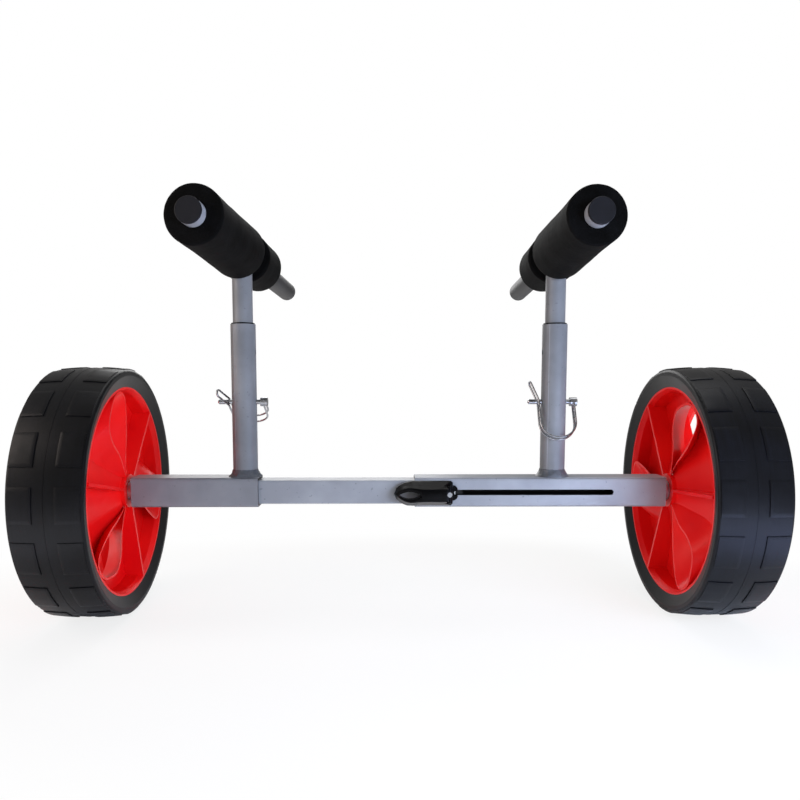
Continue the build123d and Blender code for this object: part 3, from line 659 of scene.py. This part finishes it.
def makePad(side, end):
    # a thick foam sleeve: a cylinder bored through, its ends rounded and the end near the post swollen
    low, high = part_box(f"{side}_{end}_pad")
    middle = (low + high) / 2
    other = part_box(f"{side}_{'rear' if end == 'front' else 'front'}_pad")
    towardsPost = ((other[0] + other[1]) / 2 - middle).normalized()
    diameter = mm(pads["diameter"])
    length = ((high.y - low.y) - diameter * math.sqrt(1 - towardsPost.y ** 2)) / abs(towardsPost.y)
    middle = middle - towardsPost * mm(pads["longer"][end]) / 2
    length = length + mm(pads["longer"][end])
    deselectAll()
    turn = towardsPost.to_track_quat("Z", "Y").to_euler()
    bpy.ops.mesh.primitive_cylinder_add(vertices=pads["sides"], radius=diameter / 2, depth=length,
                                        location=middle, rotation=turn)
    pad = bpy.context.object
    selectFaces(pad, lambda face: abs(face.normal.z) > pads["flatFrom"])
    bpy.ops.object.mode_set(mode="EDIT")
    bpy.ops.mesh.inset(thickness=diameter / 2 - mm(pads["bore"]) / 2)
    bpy.ops.mesh.bridge_edge_loops()
    bpy.ops.object.mode_set(mode="OBJECT")

    # rings along the skin, rounded ends, and a crease that keeps the bore at its size
    rim = pads["skinFrom"] * diameter / 2
    long, nearEnd, short = (pads[share] * length for share in ("longFrom", "endFrom", "shortTo"))
    selectEdges(pad, lambda a, b: abs(a.z - b.z) > long and min(a.xy.length, b.xy.length) > rim)
    bpy.ops.object.mode_set(mode="EDIT")
    bpy.ops.mesh.subdivide(number_cuts=pads["rings"])
    bpy.ops.object.mode_set(mode="OBJECT")
    selectEdges(pad, lambda a, b: min(abs(a.z), abs(b.z)) > nearEnd and min(a.xy.length, b.xy.length) > rim)
    bpy.ops.object.mode_set(mode="EDIT")
    bpy.ops.mesh.bevel(offset=mm(pads["round"]), segments=pads["roundSteps"], profile=0.5)
    bpy.ops.object.mode_set(mode="OBJECT")
    boreEdge = pads["boreTo"] * rim
    selectEdges(pad, lambda a, b: max(a.xy.length, b.xy.length) < boreEdge and abs(a.z - b.z) < short)
    bpy.ops.object.mode_set(mode="EDIT")
    bpy.ops.transform.edge_crease(value=1)
    bpy.ops.object.mode_set(mode="OBJECT")

    # each ring grows towards the end near the post
    reach = mm(pads["flareReach"][end])
    ringRadius = pads["ringFrom"] * diameter / 2
    skin = [v.co for v in pad.data.vertices if v.co.xy.length > ringRadius]
    heights = sorted({round(place.z, pads["ringDigits"]) for place in skin})
    heights = [h for h, below in zip(heights, [-1.0] + heights) if h - below > pads["ringGap"]]
    for height in heights:
        share = max(0.0, 1 - (length / 2 - height) / reach)
        if share > 0:
            selectVerts(pad, lambda v: abs(v.z - height) < pads["ringHalf"] and v.xy.length > ringRadius)
            bpy.ops.object.mode_set(mode="EDIT")
            size = 1 + mm(pads["flare"][end]) / diameter * share
            bpy.ops.transform.resize(value=(size, size, 1), orient_type="LOCAL")
            bpy.ops.object.mode_set(mode="OBJECT")

    applyModifier(pad, "SUBSURF", "smooth", levels=2, render_levels=2)
    bpy.ops.object.transform_apply(location=True, rotation=True, scale=True)
    for name, (depth, scale) in pads["relief"].items():
        texture = bpy.data.textures.new(name, "CLOUDS")
        texture.noise_scale = scale
        applyModifier(pad, "DISPLACE", name, texture=texture, strength=mm(depth), mid_level=0.5,
                      texture_coords="LOCAL")
    name = f"{side}{end.capitalize()}FoamPad"
    finishPiece(pad, name, f"{side}_t_bar", foamSleeve, pads["smooth"])
    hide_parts(f"{side}_{end}_pad")


for side in sides:
    for end in ("front", "rear"):
        makePad(side, end)
print("pads made")

# Cam lever

lever = {
    "eyeLength": 22.4, "eyeHeight": 8.4, "eyeFromTip": 5.0, "eyeDrop": 1.0, "eyeSides": 160,
    "edge": 0.3, "edgeFrom": 40, "smooth": 40,
}


def makeLever():
    # the CAD lever with a lens-shaped eye cut through its nose and its sharp edges taken off
    low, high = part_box("cam_lever")
    piece = cutCopy(nodes["cam_lever"], [])
    half, rise = mm(lever["eyeLength"]) / 2, mm(lever["eyeHeight"]) / 2
    radius = (half ** 2 + rise ** 2) / (2 * rise)
    middle = Vector((low.x + mm(lever["eyeFromTip"]) + half, (low.y + high.y) / 2,
                     axleZ - mm(lever["eyeDrop"])))
    cutters = []
    for way in (-1, 1):
        deselectAll()
        bpy.ops.mesh.primitive_cylinder_add(vertices=lever["eyeSides"], radius=radius,
                                            depth=2 * (high.y - low.y),
                                            location=middle + Vector((0, 0, way * (radius - rise))),
                                            rotation=(math.radians(90), 0, 0))
        cutter = bpy.context.object
        bpy.ops.object.transform_apply(location=True, rotation=True, scale=True)
        cutters.append(cutter)
    applyModifier(cutters[0], "BOOLEAN", "lens", object=cutters[1], operation="INTERSECT", solver="EXACT")
    applyModifier(piece, "BOOLEAN", "eye", object=cutters[0], operation="DIFFERENCE", solver="EXACT")
    for cutter in cutters:
        bpy.data.objects.remove(cutter)
    applyModifier(piece, "BEVEL", "softEdge", width=mm(lever["edge"]), segments=2, limit_method="ANGLE",
                  angle_limit=math.radians(lever["edgeFrom"]))
    finishPiece(piece, "camLeverWithEye", "left_half", blackNylon, lever["smooth"])
    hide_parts("cam_lever")


makeLever()
print("lever made")

# Slot shade strip, bushes, weld beads and tube seams

slotShadeStrip = {
    "height": 6.2, "thick": 0.5, "inFrom": 1.0, "start": 8.0, "end": 216.0,
    "cuts": 6, "lumpDepth": 0.2, "lumpScale": 0.001,
}
bush = {"outer": 23.4, "bore": 20.4, "height": 1.3, "edge": 0.25, "sides": 64, "flatFrom": 0.9}
weld = {"cuts": 3, "depth": 1.1, "scale": 0.0035, "middle": 0.35, "smooth": 60}
seam = {"at": 0.2, "width": 0.5, "height": 0.12, "frontTo": -0.3, "flatFrom": 0.5}


def makeSlotShadeStrip():
    # a black strip in the rear slot, starting beyond the stud: a dark sheet put in as painted shade, so that
    # the tube's inside seen through the slot stays dark
    low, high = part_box("right_outer_tube")
    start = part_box("cam_stud")[1].x + mm(slotShadeStrip["start"])
    length = mm(slotShadeStrip["end"]) - start
    place = (start + length / 2, high.y - mm(slotShadeStrip["inFrom"]), axleZ)
    deselectAll()
    bpy.ops.mesh.primitive_cube_add(size=1, location=place,
                                    scale=(length, mm(slotShadeStrip["thick"]), mm(slotShadeStrip["height"])))
    strip = bpy.context.object
    bpy.ops.object.transform_apply(location=True, rotation=True, scale=True)
    bpy.ops.object.mode_set(mode="EDIT")
    bpy.ops.mesh.select_all(action="SELECT")
    bpy.ops.mesh.subdivide(number_cuts=slotShadeStrip["cuts"])
    bpy.ops.object.mode_set(mode="OBJECT")
    texture = bpy.data.textures.new("shadeStripLumps", "CLOUDS")
    texture.noise_scale = slotShadeStrip["lumpScale"]
    applyModifier(strip, "DISPLACE", "shadeStripLumps", texture=texture, strength=mm(slotShadeStrip["lumpDepth"]),
                  texture_coords="LOCAL")
    finishPiece(strip, "slotShadeStrip", "right_half", foamSleeve)


def makeBush(side):
    # a thin black liner ring that stands out of the upright's open top
    low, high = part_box(f"{side}_upright")
    place = Vector(((low.x + high.x) / 2, (low.y + high.y) / 2, high.z + mm(bush["height"]) / 2))
    deselectAll()
    bpy.ops.mesh.primitive_cylinder_add(vertices=bush["sides"], radius=mm(bush["outer"]) / 2,
                                        depth=mm(bush["height"]), location=place)
    ring = bpy.context.object
    selectFaces(ring, lambda face: abs(face.normal.z) > bush["flatFrom"])
    bpy.ops.object.mode_set(mode="EDIT")
    bpy.ops.mesh.inset(thickness=mm(bush["outer"] - bush["bore"]) / 2)
    bpy.ops.mesh.bridge_edge_loops()
    bpy.ops.object.mode_set(mode="OBJECT")
    applyModifier(ring, "BEVEL", "softEdge", width=mm(bush["edge"]), segments=2, limit_method="ANGLE")
    finishPiece(ring, f"{side}UprightBush", f"{side}_half", blackNylon)


def makeWeld(side):
    # the bead round the foot of the upright, lumpy as hand welding leaves it
    bead = cutCopy(nodes[f"{side}_upright_weld"], [])
    bpy.ops.object.mode_set(mode="EDIT")
    bpy.ops.mesh.select_all(action="SELECT")
    bpy.ops.mesh.subdivide(number_cuts=weld["cuts"])
    bpy.ops.object.mode_set(mode="OBJECT")
    texture = bpy.data.textures.new("weldLumps", "CLOUDS")
    texture.noise_scale = weld["scale"]
    applyModifier(bead, "DISPLACE", "lumps", texture=texture, strength=mm(weld["depth"]),
                  mid_level=weld["middle"], texture_coords="LOCAL")
    finishPiece(bead, f"{side}WeldBead", f"{side}_half", weldedEnamel, weld["smooth"])
    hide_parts(f"{side}_upright_weld")


def makeSeam(side):
    # the tube's own rolled seam: a fine raised line down the front of the upright
    low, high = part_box(f"{side}_upright")
    middle = low.x + seam["at"] * (high.x - low.x)
    halfLine = mm(seam["width"]) / 2
    line = cutCopy(nodes[f"{side}_upright"], [
        ((middle - halfLine, 0, 0), (-1, 0, 0)),
        ((middle + halfLine, 0, 0), (1, 0, 0)),
        ((0, low.y / 2, 0), (0, 1, 0)),
    ])
    selectFaces(line, lambda face: face.normal.y > seam["frontTo"] or abs(face.normal.z) > seam["flatFrom"])
    bpy.ops.object.mode_set(mode="EDIT")
    bpy.ops.mesh.delete(type="FACE")
    bpy.ops.object.mode_set(mode="OBJECT")
    applyModifier(line, "SOLIDIFY", "thickness", thickness=mm(2 * seam["height"]), offset=0)
    finishPiece(line, f"{side}UprightSeam", f"{side}_half", squareEnamel)


makeSlotShadeStrip()
for side in sides:
    makeBush(side)
    makeWeld(side)
    makeSeam(side)
print("brush, bushes, welds and seams made")

bpy.context.view_layer.update()
